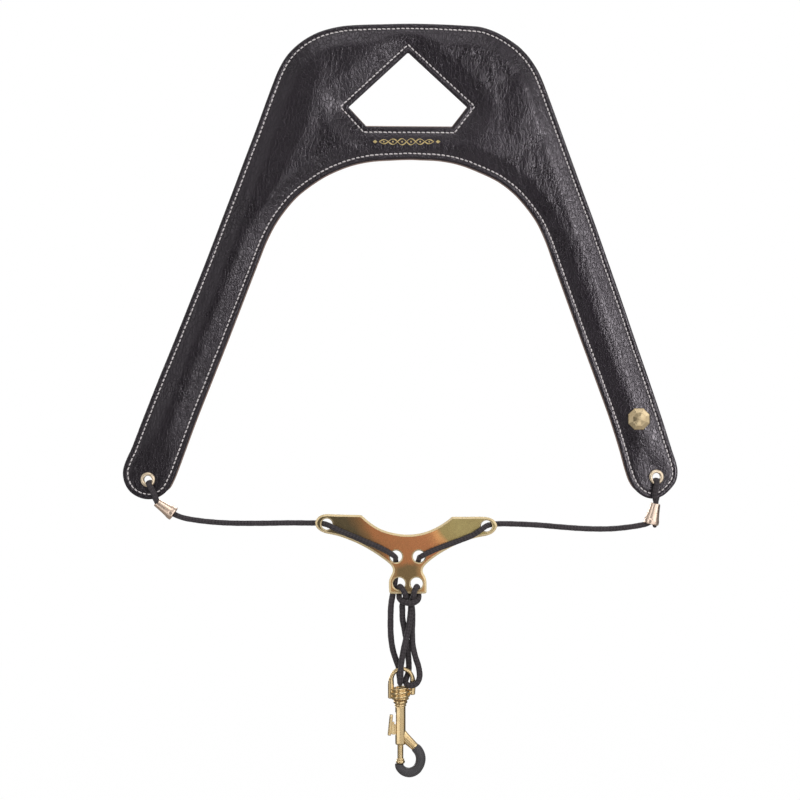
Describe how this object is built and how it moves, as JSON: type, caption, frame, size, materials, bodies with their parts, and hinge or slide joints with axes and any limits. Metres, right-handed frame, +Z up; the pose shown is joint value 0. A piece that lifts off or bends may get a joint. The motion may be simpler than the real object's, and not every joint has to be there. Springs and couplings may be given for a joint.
{
  "type": "saxophone neck strap",
  "caption": "Padded leather neck yoke with a cord harness, slotted brass Y plate and swivel snap hook, for hanging a saxophone.",
  "frame": {"origin": "middle of the nape bridge, on the back face of the lining", "axes": "+Z up as the strap hangs, from hook to nape; -Y out of the front leather; +X to the right seen from the front"},
  "size_m": [0.3053, 0.0113, 0.4145],
  "materials": {
    "black_leather": "pebbled grain, semi-matt",
    "taupe_lining": "brushed suede-like microfibre",
    "foam": "soft open-cell foam, hidden between the plies",
    "cream_thread": "twisted polyester thread",
    "pale_gold": "bright pressed metal",
    "rose_gold": "polished",
    "polished_brass": "mirror polished with bright bevelled edges",
    "gold_plated_metal": "plated die casting, glossy",
    "black_rubber": "satin dipped coating",
    "steel": "bright spring wire",
    "black_cord": "tight round braid"
  },
  "bodies": {
    "yoke": {"front_leather": "black_leather", "back_lining": "taupe_lining", "foam_padding": "foam", "edge_needle_thread": "cream_thread", "edge_bobbin_thread": "cream_thread", "window_needle_thread": "cream_thread", "window_bobbin_thread": "cream_thread", "left_eyelet": "pale_gold", "right_eyelet": "pale_gold", "left_eyelet_washer": "pale_gold", "right_eyelet_washer": "pale_gold", "ornament_stud": "pale_gold", "stud_washer": "steel", "left_cord_loop": "black_cord", "right_cord_loop": "black_cord"},
    "harness": {"left_cord_bell": "rose_gold", "right_cord_bell": "rose_gold", "left_cord_span": "black_cord", "right_cord_span": "black_cord"},
    "plate": {"y_plate": "polished_brass", "left_plate_cord": "black_cord", "right_plate_cord": "black_cord", "cord_hitch": "black_cord"},
    "drop_head": {"left_leg_head": "black_cord", "right_leg_head": "black_cord"},
    "drop": {"left_return_strand": "black_cord", "left_leg_strand": "black_cord", "right_leg_strand": "black_cord", "right_return_strand": "black_cord"},
    "hanger": {"left_eye_turn": "black_cord", "right_eye_turn": "black_cord"},
    "swivel": {"swivel_eye": "gold_plated_metal"},
    "hook": {"hook_body": "gold_plated_metal", "hook_rubber_coat": "black_rubber", "bolt_spring": "steel"},
    "bolt": {"latch_bolt": "gold_plated_metal"}
  },
  "joints": [
    {"name": "harness_swing", "type": "hinge", "parent": "yoke", "child": "harness", "pos_m": [0, -0.0012, -0.1978], "axis": [1, 0, 0], "range_deg": [-75, 75], "deforming": ["left_cord_loop", "right_cord_loop"]},
    {"name": "plate_tilt", "type": "hinge", "parent": "harness", "child": "plate", "pos_m": [0, 0, -0.2095], "axis": [1, 0, 0], "range_deg": [-60, 60]},
    {"name": "drop_swing", "type": "hinge", "parent": "plate", "child": "drop_head", "pos_m": [-0.0008, -0.002, -0.2537], "axis": [1, 0, 0], "range_deg": [-60, 60], "deforming": ["left_leg_head", "right_leg_head"]},
    {"name": "drop_sway", "type": "hinge", "parent": "drop_head", "child": "drop", "pos_m": [-0.0008, -0.002, -0.2568], "axis": [0, 1, 0], "range_deg": [-25, 25], "deforming": ["left_return_strand", "left_leg_strand", "right_leg_strand", "right_return_strand"]},
    {"name": "length_adjust", "type": "slide", "parent": "drop", "child": "hanger", "axis": [0, 0, 1], "range_m": [0, 0.018]},
    {"name": "eye_swing", "type": "hinge", "parent": "hanger", "child": "swivel", "pos_m": [-0.00418, -0.0018, -0.2895], "axis": [1, 0, 0], "range_deg": [-60, 60], "deforming": ["left_eye_turn", "right_eye_turn"]},
    {"name": "swivel_spin", "type": "hinge", "parent": "swivel", "child": "hook", "pos_m": [-0.00418, -0.0018, -0.303], "axis": [0, 0, 1], "continuous": true},
    {"name": "bolt_slide", "type": "slide", "parent": "hook", "child": "bolt", "axis": [0, 0, 1], "range_m": [0, 0.0055], "stiffness_N_per_m": 60, "springref_m": -0.006, "deforming": ["bolt_spring"]}
  ]
}
